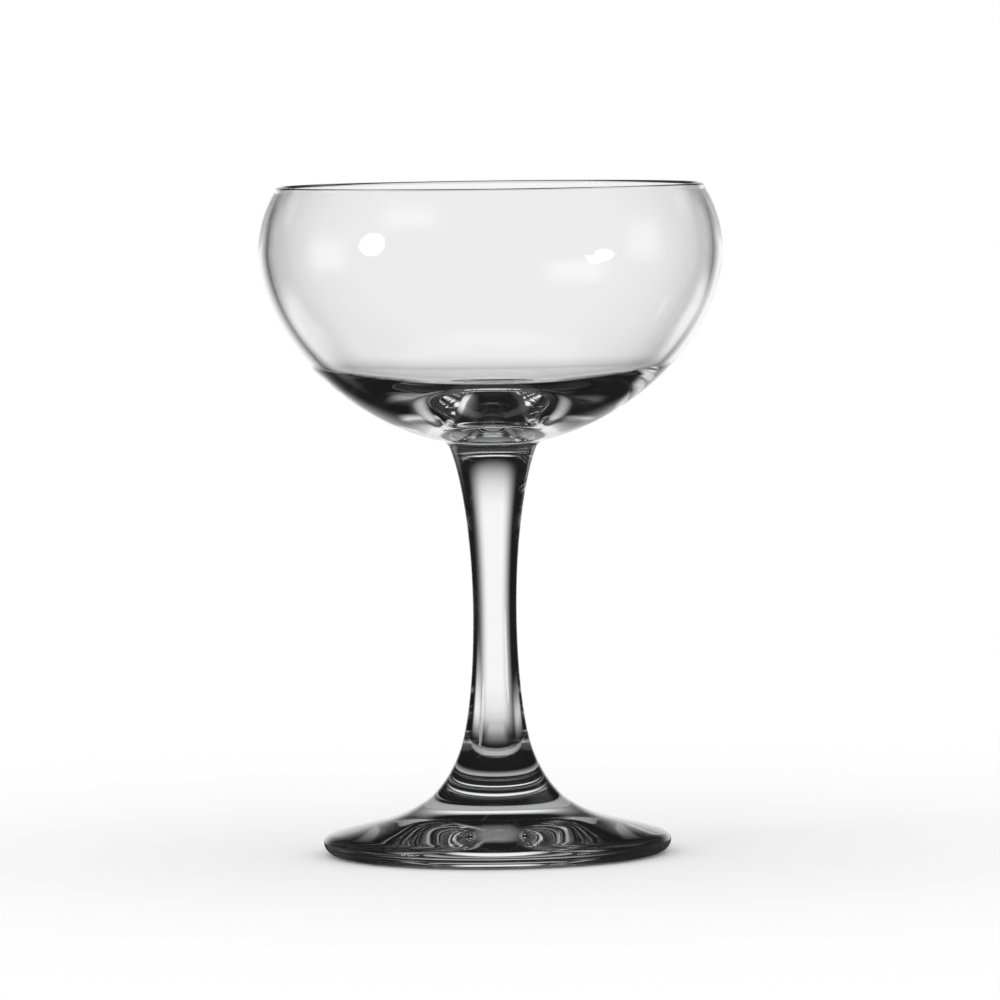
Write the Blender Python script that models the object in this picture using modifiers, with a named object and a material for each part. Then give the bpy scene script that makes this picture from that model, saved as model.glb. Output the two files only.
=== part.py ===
"""A stemmed, coupe-shaped margarita glass in clear glass, on its foot at the origin, +Z up, in metres.

Three gathers of glass are worked hot, one onto the next: the hollow bowl, the solid drawn stem and the
pressed foot. Each is its own solid here, with a hair's gap at the two faces where real ones are fused.
"""
import math

import bmesh
import bpy
from mathutils import Vector
from mathutils.geometry import interpolate_bezier

# Driving sizes of the foot
FOOT_DIAMETER = 0.0720
FOOT_HEIGHT = 0.0206            # from the table to the face fused to the stem
FOOT_EDGE_HEIGHT = 0.0024       # height of the foot's widest line
FOOT_SLOPE = math.radians(16)   # fall of the foot's upper side near its edge
FOOT_EDGE_WIDTH = 0.0034        # how far the rounded edge reaches in over the upper side
STANDING_INSET = 0.0026         # from the foot's edge in to the flat ring that the glass stands on
STANDING_WIDTH = 0.0060
UNDERSIDE_RISE = 0.0014         # the hollow under the foot, at its middle

# Driving sizes of the stem
STEM_LENGTH = 0.0628
STEM_WAIST_DIAMETER = 0.0091
STEM_WAIST_HEIGHT = 0.0291      # of the narrowest line, above the face fused to the foot
LOWER_JOIN_DIAMETER = 0.0155
UPPER_JOIN_DIAMETER = 0.0178
JOIN_FLARE = math.radians(21)   # slope of the stem's side, off the vertical, at both fused faces

# Driving sizes of the bowl
BOWL_HEIGHT = 0.0544            # from the face fused to the stem to the top of the rim
BOWL_DIAMETER = 0.0960
RIM_DRAW_IN = 0.0037            # how far the lip stands in from the widest line
RIM_THICKNESS = 0.0013          # the fire-polished lip, round over its top
WIDEST_BELOW_RIM = 0.0135
BOWL_FULLNESS = 1.83            # roundness of the lower bowl: 2 is an ellipse, less is more pointed
WALL_THICKNESS = 0.0020         # even all over the side
EVEN_WALL_HEIGHT = 0.0173       # above the fused face; from here down the wall thickens into the floor
FLOOR_THICKNESS = 0.0060        # solid glass under the middle of the bowl
NECK_SPREAD = 0.0046            # width of the curve by which the lower bowl turns down into the stem

# What the pieces share
FUSION_GAP = 0.0003
TURN_STEPS = 48
GLASS_COLOUR = (0.93, 0.94, 0.94, 1.0)


def point(radius, height):
    return Vector((radius, 0.0, height))


def bezier(start, start_handle, end_handle, end, count):
    """Points along one curve, both ends included."""
    return interpolate_bezier(start, start_handle, end_handle, end, count)


def along_flare(outward, upward, length):
    """A step along the side at a fused face; outward and upward are each 1 or -1."""
    return point(outward * length * math.sin(JOIN_FLARE), upward * length * math.cos(JOIN_FLARE))


def glass_material(name, roughness):
    material = bpy.data.materials.new(name)
    material.use_nodes = True
    shader = material.node_tree.nodes["Principled BSDF"]
    shader.inputs["Base Color"].default_value = GLASS_COLOUR
    shader.inputs["Roughness"].default_value = roughness
    shader.inputs["Metallic"].default_value = 0.0
    shader.inputs["Transmission Weight"].default_value = 1.0
    shader.inputs["IOR"].default_value = 1.52
    return material


def turned(name, profile, material, base_height, collection, parent):
    """A closed turned piece. Its profile starts and ends on the axis and runs down its outer side."""
    mesh = bpy.data.meshes.new(name)
    outline = bmesh.new()
    corners = [outline.verts.new(corner) for corner in profile]
    for upper, lower in zip(corners, corners[1:]):
        outline.edges.new((upper, lower))
    outline.to_mesh(mesh)
    outline.free()
    mesh.materials.append(material)
    piece = bpy.data.objects.new(name, mesh)
    collection.objects.link(piece)
    piece.parent = parent
    piece.location.z = base_height
    lathe = piece.modifiers.new("Turned on the axis", "SCREW")
    lathe.axis = "Z"
    lathe.angle = 2 * math.pi
    lathe.steps = TURN_STEPS
    lathe.render_steps = TURN_STEPS
    lathe.use_merge_vertices = True
    lathe.merge_threshold = 0.00001
    lathe.use_smooth_shade = True
    return piece


def foot_profile():
    """Fused face, flared upper side, rounded edge, standing ring and hollow underside."""
    rim = FOOT_DIAMETER / 2
    join = point(LOWER_JOIN_DIAMETER / 2, FOOT_HEIGHT)
    shoulder_rise = FOOT_EDGE_WIDTH * (math.tan(FOOT_SLOPE) + 1) / 2
    shoulder = point(rim - FOOT_EDGE_WIDTH, FOOT_EDGE_HEIGHT + shoulder_rise)
    widest = point(rim, FOOT_EDGE_HEIGHT)
    standing = point(rim - STANDING_INSET, 0.0)
    inner_standing = point(standing.x - STANDING_WIDTH, 0.0)
    middle = point(0.0, UNDERSIDE_RISE)

    fall = Vector((math.cos(FOOT_SLOPE), 0.0, -math.sin(FOOT_SLOPE)))
    spread = shoulder.x - join.x
    drop = join.z - shoulder.z
    leave = join + along_flare(1, -1, drop * 0.89)
    flare = bezier(join, leave, shoulder - fall * spread * 0.425, shoulder, 15)

    edge_ease = point(0.0, FOOT_EDGE_HEIGHT * 0.54)
    over_edge = shoulder + fall * FOOT_EDGE_WIDTH * 0.54
    upper_edge = bezier(shoulder, over_edge, widest + edge_ease, widest, 6)
    under_edge = standing + point(STANDING_INSET * 0.5, 0.0)
    lower_edge = bezier(widest, widest - edge_ease, under_edge, standing, 5)
    flat_ease = point(inner_standing.x * 0.5, 0.0)
    hollow = bezier(inner_standing, inner_standing - flat_ease * 0.7, middle + flat_ease, middle, 6)
    return [point(0.0, FOOT_HEIGHT)] + flare + upper_edge[1:] + lower_edge[1:] + hollow


def stem_profile():
    """Two fused faces with a waisted side between them."""
    waist = point(STEM_WAIST_DIAMETER / 2, STEM_WAIST_HEIGHT)
    top = point(UPPER_JOIN_DIAMETER / 2, STEM_LENGTH)
    foot = point(LOWER_JOIN_DIAMETER / 2, 0.0)

    above = top.z - waist.z
    below = waist.z - foot.z
    from_top = top + along_flare(-1, -1, above * 0.175)
    upper_side = bezier(top, from_top, waist + point(0.0, above * 0.465), waist, 12)
    from_foot = foot + along_flare(-1, 1, below * 0.18)
    lower_side = bezier(waist, waist - point(0.0, below * 0.465), from_foot, foot, 10)
    return [point(0.0, STEM_LENGTH)] + upper_side + lower_side[1:] + [point(0.0, 0.0)]


def bowl_profile():
    """Inside from its middle to the rim, over the rounded lip, down the outside to the fused face."""
    outer = BOWL_DIAMETER / 2
    widest_height = BOWL_HEIGHT - WIDEST_BELOW_RIM
    lip = RIM_THICKNESS / 2
    lip_middle = point(outer - RIM_DRAW_IN - lip, BOWL_HEIGHT - lip)
    rise = lip_middle.z - widest_height
    join = point(UPPER_JOIN_DIAMETER / 2, 0.0)
    power = 2.0 / BOWL_FULLNESS

    def upper_wall(radius, rim_radius):
        """Part of an ellipse from the widest line to the lip, at which it has the lip's radius."""
        end = math.acos(rim_radius / radius)
        tall = rise / math.sin(end)
        turns = [end * step / 4 for step in range(1, 4)]
        return [point(radius * math.cos(turn), widest_height + tall * math.sin(turn)) for turn in turns]

    def lower_wall(end, count, inset=0.0):
        """The side from the widest line down to a turn of its rounded outline, set in square to itself."""
        side = []
        for step in range(count + 1):
            across = math.cos(end * step / count) ** power
            down = math.sin(end * step / count) ** power
            face = point(across ** (BOWL_FULLNESS - 1) / outer, -(down ** (BOWL_FULLNESS - 1)) / widest_height)
            side.append(point(outer * across, widest_height * (1 - down)) - face.normalized() * inset)
        return side

    even_turn = math.asin((1 - EVEN_WALL_HEIGHT / widest_height) ** (BOWL_FULLNESS / 2))
    side = lower_wall(even_turn, 8, WALL_THICKNESS)
    side_end = side[-1]
    fall = (side_end - side[-2]).normalized()
    middle = point(0.0, FLOOR_THICKNESS)
    leave = side_end + fall * side_end.x * 0.28
    floor = bezier(side_end, leave, middle + point(side_end.x * 0.17, 0.0), middle, 12)
    inside = (side + floor[1:])[::-1] + upper_wall(outer - WALL_THICKNESS, lip_middle.x - lip)

    lip_turns = [math.pi * (1 - step / 6) for step in range(7)]
    over_lip = [lip_middle + Vector((math.cos(turn), 0.0, math.sin(turn))) * lip for turn in lip_turns]

    neck_turn = math.acos(((join.x + NECK_SPREAD) / outer) ** (BOWL_FULLNESS / 2))
    outside = upper_wall(outer, lip_middle.x + lip)[::-1] + lower_wall(neck_turn, 12)
    neck = outside[-1]
    along = (neck - outside[-2]).normalized()
    arrive = join + along_flare(1, 1, NECK_SPREAD * 0.45)
    turn_down = bezier(neck, neck + along * NECK_SPREAD * 0.43, arrive, join, 6)
    return inside + over_lip + outside + turn_down[1:] + [point(0.0, 0.0)]


for old in list(bpy.data.objects):
    bpy.data.objects.remove(old, do_unlink=True)

glass = bpy.data.collections.new("margarita_glass")
bpy.context.scene.collection.children.link(glass)
standing_point = bpy.data.objects.new("standing_point", None)
glass.objects.link(standing_point)

stem_base = FOOT_HEIGHT + FUSION_GAP
bowl_base = stem_base + STEM_LENGTH + FUSION_GAP

turned("foot", foot_profile(), glass_material("pressed_foot_glass", 0.03), 0.0, glass, standing_point)
turned("stem", stem_profile(), glass_material("drawn_stem_glass", 0.02), stem_base, glass, standing_point)
turned("bowl", bowl_profile(), glass_material("blown_bowl_glass", 0.01), bowl_base, glass, standing_point)
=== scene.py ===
import math

import bmesh
import bpy
from mathutils import Matrix, Vector
from mathutils.geometry import interpolate_bezier


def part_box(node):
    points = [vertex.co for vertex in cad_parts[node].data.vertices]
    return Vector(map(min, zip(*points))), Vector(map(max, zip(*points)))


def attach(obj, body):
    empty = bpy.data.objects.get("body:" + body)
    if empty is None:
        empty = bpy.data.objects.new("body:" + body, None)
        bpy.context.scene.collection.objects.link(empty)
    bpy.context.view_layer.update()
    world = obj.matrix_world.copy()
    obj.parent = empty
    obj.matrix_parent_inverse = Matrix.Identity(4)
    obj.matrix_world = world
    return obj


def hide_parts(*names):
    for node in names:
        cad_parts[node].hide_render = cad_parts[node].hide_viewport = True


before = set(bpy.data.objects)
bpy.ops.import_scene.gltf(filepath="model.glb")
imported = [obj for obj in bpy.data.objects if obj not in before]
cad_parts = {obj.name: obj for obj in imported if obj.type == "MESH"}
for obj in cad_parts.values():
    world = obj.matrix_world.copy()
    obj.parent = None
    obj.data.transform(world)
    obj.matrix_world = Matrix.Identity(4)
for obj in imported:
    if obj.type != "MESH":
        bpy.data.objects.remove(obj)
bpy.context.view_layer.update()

# Bowl: one gather of clear glass, blown in a turning mould so that it shows no seam. The cut edge is melted
# round in a flame. Its wall is even down to where it thickens into a solid floor, and below that floor the
# hot glass is fused to the stem.
RIM_DRAW_IN = 0.0037
LIP_THICKNESS = 0.0013
WIDEST_BELOW_RIM = 0.0135
BOWL_FULLNESS = 1.83            # roundness of the lower bowl: 2 is an ellipse, less is more pointed
WALL_THICKNESS = 0.0020
EVEN_WALL_HEIGHT = 0.0173
FLOOR_THICKNESS = 0.0060
FLOOR_SIDE_PULL = 0.28          # pulls are how far a curve keeps its direction, as shares of its size
FLOOR_MIDDLE_PULL = 0.17
NECK_SPREAD = 0.0046
NECK_BOWL_PULL = 0.43
NECK_STEM_PULL = 0.45
JOIN_FLARE = math.radians(21)
ROUND_STEPS = 192
UPPER_WALL_STEPS = 16
LIP_STEPS = 16
INSIDE_STEPS = 40
FLOOR_STEPS = 40
OUTSIDE_STEPS = 56
NECK_STEPS = 16
ON_AXIS = 1e-7
SHARP_CORNER = math.radians(40)
GLASS_COLOUR = (0.998, 0.998, 0.998, 1.0)
GLASS_IOR = 1.52
CLEAN_DULLNESS = 0.002
WAVE_SCALE = 55.0
WAVE_DEPTH = 0.00002
WIPE_STRETCH = (60.0, 60.0, 900.0)
WIPE_RANGE = (0.5, 0.75)
WIPE_DULLNESS = 0.012
WHITE = (1.0, 1.0, 1.0, 1.0)

bowl_low, bowl_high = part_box("bowl")
stem_low, stem_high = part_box("stem")
upper_join = (stem_high.z + bowl_low.z) / 2
upper_join_radius = stem_high.x
bowl_radius = bowl_high.x
widest_height = bowl_high.z - WIDEST_BELOW_RIM
lower_depth = widest_height - upper_join
lip = LIP_THICKNESS / 2
lip_middle = Vector((bowl_radius - RIM_DRAW_IN - lip, 0, bowl_high.z - lip))


def at(radius, height):
    """A point of a turned piece's outline."""
    return Vector((radius, 0.0, height))


def along_flare(outward, upward, length):
    """A step along the side where two pieces are fused; outward and upward are each 1 or -1."""
    return at(outward * length * math.sin(JOIN_FLARE), upward * length * math.cos(JOIN_FLARE))


def upper_wall(radius, rim_radius):
    """The side above the widest line, drawn in to the lip on part of an ellipse."""
    end = math.acos(rim_radius / radius)
    tall = (lip_middle.z - widest_height) / math.sin(end)
    turns = [end * step / UPPER_WALL_STEPS for step in range(1, UPPER_WALL_STEPS)]
    return [at(radius * math.cos(turn), widest_height + tall * math.sin(turn)) for turn in turns]


def lower_wall(end, count, inset=0.0):
    """The side from the widest line down to a turn of its rounded outline, set in square to itself."""
    power = 2.0 / BOWL_FULLNESS
    side = []
    for step in range(count + 1):
        across = math.cos(end * step / count) ** power
        down = math.sin(end * step / count) ** power
        face = at(across ** (BOWL_FULLNESS - 1) / bowl_radius, -(down ** (BOWL_FULLNESS - 1)) / lower_depth)
        side.append(at(bowl_radius * across, widest_height - lower_depth * down) - face.normalized() * inset)
    return side


def turned(name, outline, seams):
    """A closed turned piece; the runs of its outline named in seams are faces fused to the next piece."""
    body = bmesh.new()
    rings = []
    for corner in outline:
        if corner.x < ON_AXIS:
            rings.append([body.verts.new((0.0, 0.0, corner.z))] * ROUND_STEPS)
            continue
        turns = [2 * math.pi * step / ROUND_STEPS for step in range(ROUND_STEPS)]
        rings.append([body.verts.new(Matrix.Rotation(turn, 3, "Z") @ corner) for turn in turns])
    for run, (upper, lower) in enumerate(zip(rings, rings[1:])):
        for step in range(ROUND_STEPS):
            after = (step + 1) % ROUND_STEPS
            corners = dict.fromkeys((upper[step], lower[step], lower[after], upper[after]))
            face = body.faces.new(corners)
            face.smooth = True
            face.material_index = 1 if run in seams else 0
    body.normal_update()
    mesh = bpy.data.meshes.new(name)
    body.to_mesh(mesh)
    body.free()
    mesh.set_sharp_from_angle(angle=SHARP_CORNER)
    piece = bpy.data.objects.new(name, mesh)
    bpy.context.scene.collection.objects.link(piece)
    return piece


class Shade:
    """One output socket of a node tree; arithmetic on it adds Math nodes."""

    def __init__(self, tree, socket=None):
        self.tree = tree
        self.socket = socket

    def node(self, kind, settings={}, sockets={}, output=0):
        """Adds a node: its settings first, then the value or the link of each named socket."""
        made = self.tree.nodes.new(kind)
        for name, setting in settings.items():
            setattr(made, name, setting)
        for name, value in sockets.items():
            if isinstance(value, Shade):
                self.tree.links.new(value.socket, made.inputs[name])
            else:
                made.inputs[name].default_value = value
        return Shade(self.tree, made.outputs[output] if made.outputs else None)

    def other(self, output):
        """Another output of the same node."""
        return Shade(self.tree, self.socket.node.outputs[output])

    def sum(self, operation, first, second):
        """One Math node on two values."""
        return self.node("ShaderNodeMath", {"operation": operation}, {0: first, 1: second})

    def __add__(self, other):
        return self.sum("ADD", self, other)

    def __radd__(self, other):
        return self.sum("ADD", other, self)

    def __sub__(self, other):
        return self.sum("SUBTRACT", self, other)

    def __rsub__(self, other):
        return self.sum("SUBTRACT", other, self)

    def __mul__(self, other):
        return self.sum("MULTIPLY", self, other)

    def __rmul__(self, other):
        return self.sum("MULTIPLY", other, self)


def ease(value, low, high):
    """0 below low, 1 above high, and a smooth rise between them."""
    sockets = {"Value": value, "From Min": low, "From Max": high}
    return value.node("ShaderNodeMapRange", {"interpolation_type": "SMOOTHSTEP"}, sockets)


def bare_finish(name):
    """An empty material and the start of its nodes."""
    material = bpy.data.materials.new(name)
    material.use_nodes = True
    material.node_tree.nodes.clear()
    return material, Shade(material.node_tree)


def glass_surface(start, ripple, ripple_depth, dullness):
    """Clear soda-lime glass, with the ripple of its making and the dullness of its handling."""
    relief = start.node("ShaderNodeBump", {}, {"Height": ripple, "Distance": ripple_depth})
    shader = start.node("ShaderNodeBsdfPrincipled", {}, {
        "Base Color": GLASS_COLOUR, "Roughness": dullness, "Normal": relief,
        "Transmission Weight": 1.0, "IOR": GLASS_IOR})
    start.node("ShaderNodeOutputMaterial", {}, {"Surface": shader})


def blown_bowl_glass():
    """Slow waves left by the turning mould, and faint wipe marks that run round the bowl."""
    material, start = bare_finish("blown_bowl_glass")
    place = start.node("ShaderNodeTexCoord", output="Object")
    waves = start.node("ShaderNodeTexNoise", {}, {"Vector": place, "Scale": WAVE_SCALE, "Detail": 1.0})
    round_marks = start.node("ShaderNodeMapping", {}, {"Vector": place, "Scale": WIPE_STRETCH})
    wipes = start.node("ShaderNodeTexNoise", {}, {"Vector": round_marks, "Scale": 1.0, "Detail": 3.0})
    glass_surface(start, waves, WAVE_DEPTH, CLEAN_DULLNESS + WIPE_DULLNESS * ease(wipes, *WIPE_RANGE))
    return material


def fused_face():
    """The two faces of a fused join, where the glass runs on with no surface to be seen."""
    material, start = bare_finish("fused_face")
    clear = start.node("ShaderNodeBsdfTransparent", {}, {"Color": WHITE})
    start.node("ShaderNodeOutputMaterial", {}, {"Surface": clear})
    return material


even_turn = math.asin((1 - EVEN_WALL_HEIGHT / lower_depth) ** (BOWL_FULLNESS / 2))
side = lower_wall(even_turn, INSIDE_STEPS, WALL_THICKNESS)
side_end = side[-1]
side_fall = (side_end - side[-2]).normalized()
floor_middle = at(0.0, upper_join + FLOOR_THICKNESS)
floor_leave = side_end + side_fall * side_end.x * FLOOR_SIDE_PULL
floor_arrive = floor_middle + at(side_end.x * FLOOR_MIDDLE_PULL, 0.0)
floor = interpolate_bezier(side_end, floor_leave, floor_arrive, floor_middle, FLOOR_STEPS)
inside = (side + floor[1:-1] + [floor_middle])[::-1]
inside += upper_wall(bowl_radius - WALL_THICKNESS, lip_middle.x - lip)
lip_turns = [math.pi * (1 - step / LIP_STEPS) for step in range(LIP_STEPS + 1)]
over_lip = [lip_middle + at(math.cos(turn), math.sin(turn)) * lip for turn in lip_turns]
neck_turn = math.acos(((upper_join_radius + NECK_SPREAD) / bowl_radius) ** (BOWL_FULLNESS / 2))
outside = upper_wall(bowl_radius, lip_middle.x + lip)[::-1] + lower_wall(neck_turn, OUTSIDE_STEPS)
neck = outside[-1]
neck_fall = (neck - outside[-2]).normalized()
neck_leave = neck + neck_fall * NECK_SPREAD * NECK_BOWL_PULL
bowl_join = at(upper_join_radius, upper_join)
neck_arrive = bowl_join + along_flare(1, 1, NECK_SPREAD * NECK_STEM_PULL)
outside += interpolate_bezier(neck, neck_leave, neck_arrive, bowl_join, NECK_STEPS)[1:]
bowl_outline = inside + over_lip + outside + [at(0.0, upper_join)]

fused = fused_face()
bowl = turned("blown_bowl", bowl_outline, {len(bowl_outline) - 2})
bowl.data.materials.append(blown_bowl_glass())
bowl.data.materials.append(fused)
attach(bowl, "root")
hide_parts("bowl")

# Stem: a solid gather of the same glass, drawn down by hand from under the bowl while soft, so it is waisted
# and carries faint lines along the pull. It is fused to the bowl above and to the foot below.
WAIST_RADIUS = 0.00455
WAIST_ABOVE_FOOT = 0.0291
LOWER_JOIN_RADIUS = 0.00775
STEM_TOP_PULL = 0.175
STEM_FOOT_PULL = 0.18
WAIST_PULL = 0.465
ABOVE_WAIST_STEPS = 48
BELOW_WAIST_STEPS = 40
LINE_STRETCH = (420.0, 420.0, 22.0)
LINE_DEPTH = 0.00001
TOUCH_SCALE = 130.0
TOUCH_RANGE = (0.5, 0.8)
TOUCH_DULLNESS = 0.015

foot_low, foot_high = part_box("foot")
lower_join = (foot_high.z + stem_low.z) / 2
stem_top = at(upper_join_radius, upper_join)
stem_waist = at(WAIST_RADIUS, lower_join + WAIST_ABOVE_FOOT)
stem_foot = at(LOWER_JOIN_RADIUS, lower_join)
above_waist = stem_top.z - stem_waist.z
below_waist = stem_waist.z - stem_foot.z


def drawn_stem_glass():
    """Fine lines along the pull, and the dull touch of fingers in patches over the stem."""
    material, start = bare_finish("drawn_stem_glass")
    place = start.node("ShaderNodeTexCoord", output="Object")
    pulled = start.node("ShaderNodeMapping", {}, {"Vector": place, "Scale": LINE_STRETCH})
    lines = start.node("ShaderNodeTexNoise", {}, {"Vector": pulled, "Scale": 1.0, "Detail": 2.0})
    touch = start.node("ShaderNodeTexNoise", {}, {"Vector": place, "Scale": TOUCH_SCALE, "Detail": 4.0})
    glass_surface(start, lines, LINE_DEPTH, CLEAN_DULLNESS + TOUCH_DULLNESS * ease(touch, *TOUCH_RANGE))
    return material


from_top = stem_top + along_flare(-1, -1, above_waist * STEM_TOP_PULL)
over_waist = stem_waist + at(0.0, above_waist * WAIST_PULL)
stem_side = interpolate_bezier(stem_top, from_top, over_waist, stem_waist, ABOVE_WAIST_STEPS)
under_waist = stem_waist - at(0.0, below_waist * WAIST_PULL)
from_foot = stem_foot + along_flare(-1, 1, below_waist * STEM_FOOT_PULL)
stem_side += interpolate_bezier(stem_waist, under_waist, from_foot, stem_foot, BELOW_WAIST_STEPS)[1:]
stem_outline = [at(0.0, upper_join)] + stem_side + [at(0.0, lower_join)]

stem = turned("drawn_stem", stem_outline, {0, len(stem_outline) - 2})
stem.data.materials.append(drawn_stem_glass())
stem.data.materials.append(fused)
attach(stem, "root")
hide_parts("stem")

# Foot: a third gather, dropped on the stem's end and pressed out flat between boards while it turns, then
# fire-polished. Only a ring near its edge touches the table, and that ring is scuffed dull by use.
FOOT_EDGE_HEIGHT = 0.0024
FOOT_EDGE_WIDTH = 0.0034
FOOT_SLOPE = math.radians(16)
STANDING_INSET = 0.0026
STANDING_WIDTH = 0.0060
UNDERSIDE_RISE = 0.0014
FLARE_STEM_PULL = 0.89
FLARE_EDGE_PULL = 0.425
EDGE_PULL = 0.54
STANDING_PULL = 0.5
HOLLOW_MIDDLE_PULL = 0.5
HOLLOW_EDGE_PULL = 0.35
FLARE_STEPS = 60
UPPER_EDGE_STEPS = 16
LOWER_EDGE_STEPS = 12
HOLLOW_STEPS = 24
PRESSING_RINGS = {"Scale": 42.0, "Distortion": 1.5, "Detail": 2.0, "Detail Scale": 0.6}
PRESSING_DEPTH = 0.000001
SCRATCH_SCALE = 900.0
SCRATCH_RANGE = (0.5, 0.8)
SCRATCH_DULLNESS = 0.006
SCUFF_HEIGHT = 0.00025
SCUFF_RANGE = (0.35, 0.6)
SCUFF_DULLNESS = 0.05

foot_radius = foot_high.x
shoulder_rise = FOOT_EDGE_WIDTH * (math.tan(FOOT_SLOPE) + 1) / 2
shoulder = at(foot_radius - FOOT_EDGE_WIDTH, FOOT_EDGE_HEIGHT + shoulder_rise)
widest = at(foot_radius, FOOT_EDGE_HEIGHT)
standing = at(foot_radius - STANDING_INSET, 0.0)
inner_standing = at(standing.x - STANDING_WIDTH, 0.0)
underside = at(0.0, UNDERSIDE_RISE)


def pressed_foot_glass():
    """Faint rings from the pressing, light scratches over the top, and a scuffed standing ring."""
    material, start = bare_finish("pressed_foot_glass")
    place = start.node("ShaderNodeTexCoord", output="Object")
    rings = start.node("ShaderNodeTexWave", {"wave_type": "RINGS", "rings_direction": "Z"}, {
        "Vector": place, **PRESSING_RINGS})
    height = start.node("ShaderNodeSeparateXYZ", {}, {"Vector": place}, "Z")
    scuff = 1 - ease(height, 0.0, SCUFF_HEIGHT)
    scratches = start.node("ShaderNodeTexNoise", {}, {"Vector": place, "Scale": SCRATCH_SCALE, "Detail": 3.0})
    scratched = SCRATCH_DULLNESS * ease(scratches, *SCRATCH_RANGE)
    scuffed = SCUFF_DULLNESS * scuff * ease(scratches, *SCUFF_RANGE)
    glass_surface(start, rings, PRESSING_DEPTH, CLEAN_DULLNESS + scratched + scuffed)
    return material


foot_drop = stem_foot.z - shoulder.z
foot_fall = at(math.cos(FOOT_SLOPE), -math.sin(FOOT_SLOPE))
flare_leave = stem_foot + along_flare(1, -1, foot_drop * FLARE_STEM_PULL)
flare_arrive = shoulder - foot_fall * (shoulder.x - stem_foot.x) * FLARE_EDGE_PULL
edge_ease = at(0.0, FOOT_EDGE_HEIGHT * EDGE_PULL)
over_edge = shoulder + foot_fall * FOOT_EDGE_WIDTH * EDGE_PULL
under_edge = standing + at(STANDING_INSET * STANDING_PULL, 0.0)
hollow_leave = inner_standing - at(inner_standing.x * HOLLOW_EDGE_PULL, 0.0)
hollow_arrive = underside + at(inner_standing.x * HOLLOW_MIDDLE_PULL, 0.0)
foot_outline = [at(0.0, lower_join)]
foot_outline += interpolate_bezier(stem_foot, flare_leave, flare_arrive, shoulder, FLARE_STEPS)
foot_outline += interpolate_bezier(shoulder, over_edge, widest + edge_ease, widest, UPPER_EDGE_STEPS)[1:]
foot_outline += interpolate_bezier(widest, widest - edge_ease, under_edge, standing, LOWER_EDGE_STEPS)[1:]
foot_outline += interpolate_bezier(inner_standing, hollow_leave, hollow_arrive, underside, HOLLOW_STEPS)[:-1]
foot_outline += [underside]

foot = turned("pressed_foot", foot_outline, {0})
foot.data.materials.append(pressed_foot_glass())
foot.data.materials.append(fused)
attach(foot, "root")
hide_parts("foot")

# Table: a plain white board under the glass, with no edge in view. Near the foot it takes the soft shadow,
# and further out it runs on into the white of the studio. Seen through the glass, the board round the foot
# is painted shade with a painted ring of light under the foot's outer part, and further out it lets the
# studio show.
TABLE_RADIUS = 9.0
TABLE_CORNERS = 96
TABLE_DROP = 0.0002             # a hair under the standing ring, so that the two faces stay apart
TABLE_WHITE = (0.95, 0.95, 0.95, 1.0)
SHADOW_REACH = (0.05, 0.30)     # from the glass's axis: where the shadow starts to fade, and where it ends
# from here down: painted shade and a painted ring of light, emitted by the board and shown only to glass rays
PAINTED_SHADE_REACH = (0.04, 0.11)      # the same for the shade that the glass shows
PAINTED_SHADE_LEVEL = 0.010
PAINTED_RING_LIGHT = 0.45
PAINTED_RING_INNER_EDGE = (0.015, 0.022)
PAINTED_RING_OUTER_EDGE = (0.028, 0.034)


def white_board():
    """White with a soft shadow; through the glass, painted shade and a painted lit ring, then the open
    studio.
    """
    material, start = bare_finish("white_board")
    place = start.node("ShaderNodeTexCoord", output="Object")
    reach = start.node("ShaderNodeVectorMath", {"operation": "LENGTH"}, {0: place}, "Value")
    matt = start.node("ShaderNodeBsdfDiffuse", {}, {"Color": TABLE_WHITE})
    white = start.node("ShaderNodeEmission", {}, {"Color": WHITE, "Strength": 1.0})
    bare = start.node("ShaderNodeMixShader", {}, {0: ease(reach, *SHADOW_REACH), 1: matt, 2: white})
    # painted light and shade: an emitted ring under the foot inside a dark emitted patch, for glass rays only
    ring = ease(reach, *PAINTED_RING_INNER_EDGE) * (1 - ease(reach, *PAINTED_RING_OUTER_EDGE))
    shade = start.node("ShaderNodeEmission", {}, {"Color": PAINTED_SHADE_LEVEL + PAINTED_RING_LIGHT * ring, "Strength": 1.0})
    clear = start.node("ShaderNodeBsdfTransparent", {}, {"Color": WHITE})
    behind = start.node("ShaderNodeMixShader", {}, {0: ease(reach, *PAINTED_SHADE_REACH), 1: shade, 2: clear})
    path = start.node("ShaderNodeLightPath", output="Is Glossy Ray")
    by_glass = start.sum("MAXIMUM", path, path.other("Is Transmission Ray"))
    mixed = start.node("ShaderNodeMixShader", {}, {0: by_glass, 1: bare, 2: behind})
    start.node("ShaderNodeOutputMaterial", {}, {"Surface": mixed})
    return material


board = bmesh.new()
bmesh.ops.create_circle(board, cap_ends=True, segments=TABLE_CORNERS, radius=TABLE_RADIUS)
table_mesh = bpy.data.meshes.new("table")
board.to_mesh(table_mesh)
board.free()
table_mesh.materials.append(white_board())
table = bpy.data.objects.new("table", table_mesh)
bpy.context.scene.collection.objects.link(table)
table.location.z = -TABLE_DROP

# Studio: a dim room with a softly lit white sheet behind the glass and white cards round it, which is what
# clear glass shows as bright fields with dark edges. Matt surfaces are lit evenly from all sides, and two
# soft lamps in front of the glass make the two highlights on its bowl.
ROOM_DIM = 0.010
EVEN_LIGHT = 1.0
BOARD_LEVEL = 0.9               # of the white board, for a look steeply down through the glass
STEEP_LOOK = (math.radians(-70), math.radians(-54))
LAMP_DISTANCE = 1.2

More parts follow.
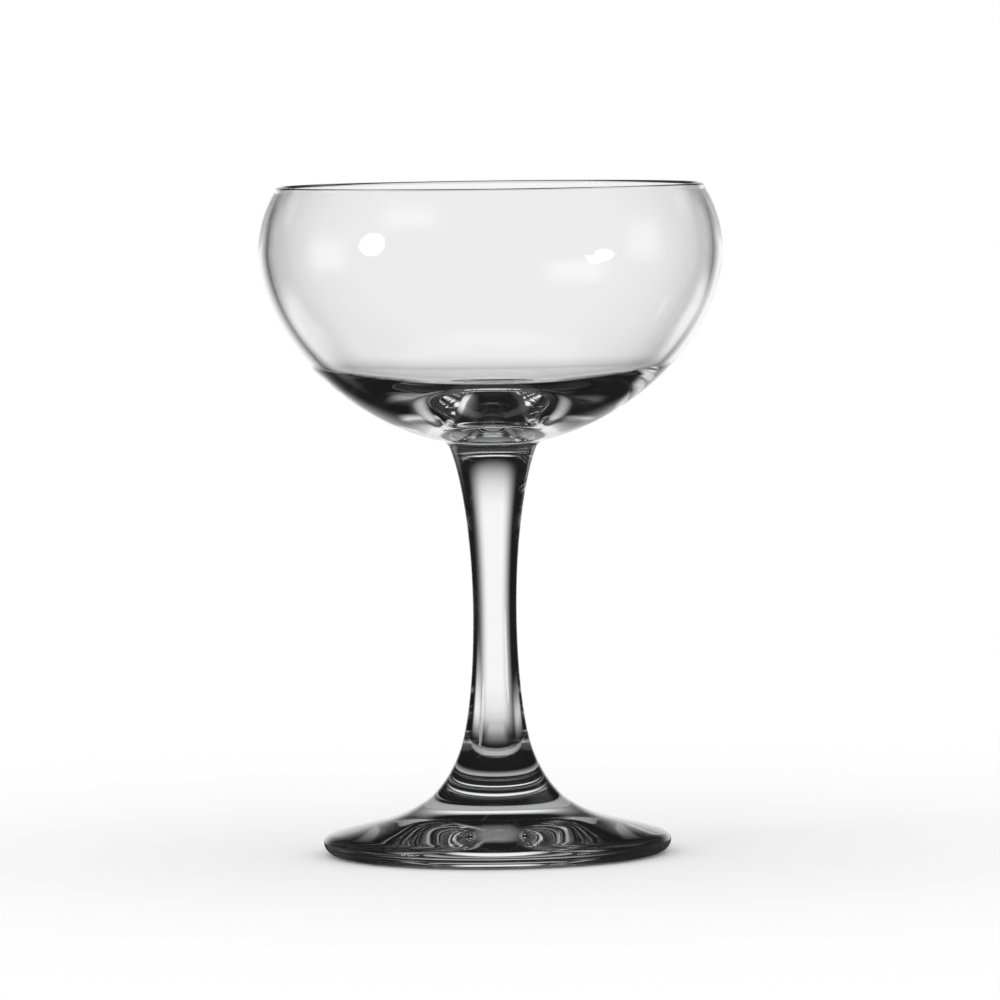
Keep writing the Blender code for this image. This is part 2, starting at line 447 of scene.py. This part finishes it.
world = bpy.data.worlds.new("studio")
bpy.context.scene.world = world
world.use_nodes = True
world.node_tree.nodes.clear()
room = Shade(world.node_tree)
look = room.node("ShaderNodeTexCoord", output="Generated")
look_x = room.node("ShaderNodeSeparateXYZ", {}, {"Vector": look}, "X")
look_turn = room.sum("ARCTAN2", look_x, look_x.other("Y"))
look_rise = room.node("ShaderNodeMath", {"operation": "ARCSINE"}, {0: look_x.other("Z")})


def soft_edge(value, edge, fade):
    """0 before an edge and 1 past it, with the fade to both sides; edge and fade are in degrees."""
    return ease(value, math.radians(edge - fade), math.radians(edge + fade))


def card(facing, half_width, side_fade, low, low_fade, high, high_fade, level):
    """A white card as the glass sees it: degrees round from the back, to the right, and up from level."""
    away = room.node("ShaderNodeMath", {"operation": "WRAP"}, {
        0: look_turn - math.radians(facing), 1: math.pi, 2: -math.pi})
    away = room.node("ShaderNodeMath", {"operation": "ABSOLUTE"}, {0: away})
    across = 1 - soft_edge(away, half_width, side_fade)
    return across * soft_edge(look_rise, low, low_fade) * (1 - soft_edge(look_rise, high, high_fade)) * level


cards = [
    # the sheet behind the glass, and its light on the table top
    card(facing=1, half_width=23.5, side_fade=13, low=-18, low_fade=9, high=12, high_fade=7, level=1.0),
    card(facing=0, half_width=14, side_fade=7, low=-41, low_fade=4, high=-14, high_fade=5, level=0.8),
    # a card low on the right, behind the glass, and a high window above it
    card(facing=34, half_width=9, side_fade=5, low=-26, low_fade=5, high=-10, high_fade=5, level=0.9),
    card(facing=50, half_width=14, side_fade=8, low=32, low_fade=6, high=60, high_fade=8, level=0.35),
    # a card to the left, and one low on the left, behind the glass
    card(facing=-90, half_width=12, side_fade=7, low=-12, low_fade=7, high=8, high_fade=5, level=1.0),
    card(facing=-43, half_width=12, side_fade=6, low=-34, low_fade=6, high=-15, high_fade=5, level=0.9),
    # a card low on the right, near the camera, and the dim room in front of the glass
    card(facing=135, half_width=16, side_fade=8, low=-25, low_fade=6, high=-8, high_fade=5, level=1.0),
    card(facing=180, half_width=85, side_fade=30, low=-70, low_fade=20, high=60, high_fade=25, level=0.04),
]
seen = BOARD_LEVEL * (1 - ease(look_rise, *STEEP_LOOK))
for white_card in cards:
    seen = room.sum("MAXIMUM", seen, white_card)
path = room.node("ShaderNodeLightPath", output="Is Camera Ray")
through_glass = room.sum("MAXIMUM", path.other("Is Glossy Ray"), path.other("Is Transmission Ray"))
shown = room.sum("MAXIMUM", path, through_glass * (ROOM_DIM + (1 - ROOM_DIM) * seen))
even = (1 - room.sum("MAXIMUM", path, through_glass)) * EVEN_LIGHT
sky = room.node("ShaderNodeBackground", {}, {"Color": shown + even, "Strength": 1.0})
room.node("ShaderNodeOutputWorld", {}, {"Surface": sky})


def lamp(name, width, tall, turn, height, power):
    """A soft oval lamp that stands in front of the glass to one side and makes one highlight on the bowl."""
    light = bpy.data.lights.new(name, "AREA")
    light.shape = "ELLIPSE"
    light.size = width
    light.size_y = tall
    light.energy = power
    holder = bpy.data.objects.new(name, light)
    bpy.context.scene.collection.objects.link(holder)
    place = Vector((math.sin(turn) * LAMP_DISTANCE, -math.cos(turn) * LAMP_DISTANCE, height))
    holder.location = place
    holder.rotation_euler = (Vector((0, 0, widest_height)) - place).to_track_quat("-Z", "Y").to_euler()
    holder.visible_camera = False
    holder.visible_transmission = False


lamp("left_lamp", width=0.30, tall=0.42, turn=math.radians(-60), height=0.31, power=1.8)
lamp("right_lamp", width=0.24, tall=0.24, turn=math.radians(56.5), height=0.07, power=0.8)

# Camera: a little above the rim and a long way back, so that the rim shows as a thin ellipse. The picture
# leans by under a degree, as the photograph does. A ray of light may pass many faces of the glass.
CAMERA_DISTANCE = 1.68
CAMERA_HEIGHT = 0.171
CAMERA_SIDE = 0.00134
AIM_HEIGHT = 0.0731
CAMERA_LEAN = math.radians(0.7)
SENSOR_WIDTH = 36.0
LENS = 292.66
GLASS_FACES = 64

camera_data = bpy.data.cameras.new("camera")
camera_data.sensor_width = SENSOR_WIDTH
camera_data.lens = LENS
camera = bpy.data.objects.new("camera", camera_data)
bpy.context.scene.collection.objects.link(camera)
camera.location = (CAMERA_SIDE, -CAMERA_DISTANCE, CAMERA_HEIGHT)
view = Vector((CAMERA_SIDE, 0, AIM_HEIGHT)) - camera.location
lean = Matrix.Rotation(-CAMERA_LEAN, 3, "Z")
camera.rotation_euler = (view.to_track_quat("-Z", "Y").to_matrix() @ lean).to_euler()
bpy.context.scene.camera = camera

bpy.context.scene.view_settings.view_transform = "Standard"
bpy.context.scene.cycles.max_bounces = GLASS_FACES
bpy.context.scene.cycles.transmission_bounces = GLASS_FACES
bpy.context.scene.cycles.glossy_bounces = GLASS_FACES
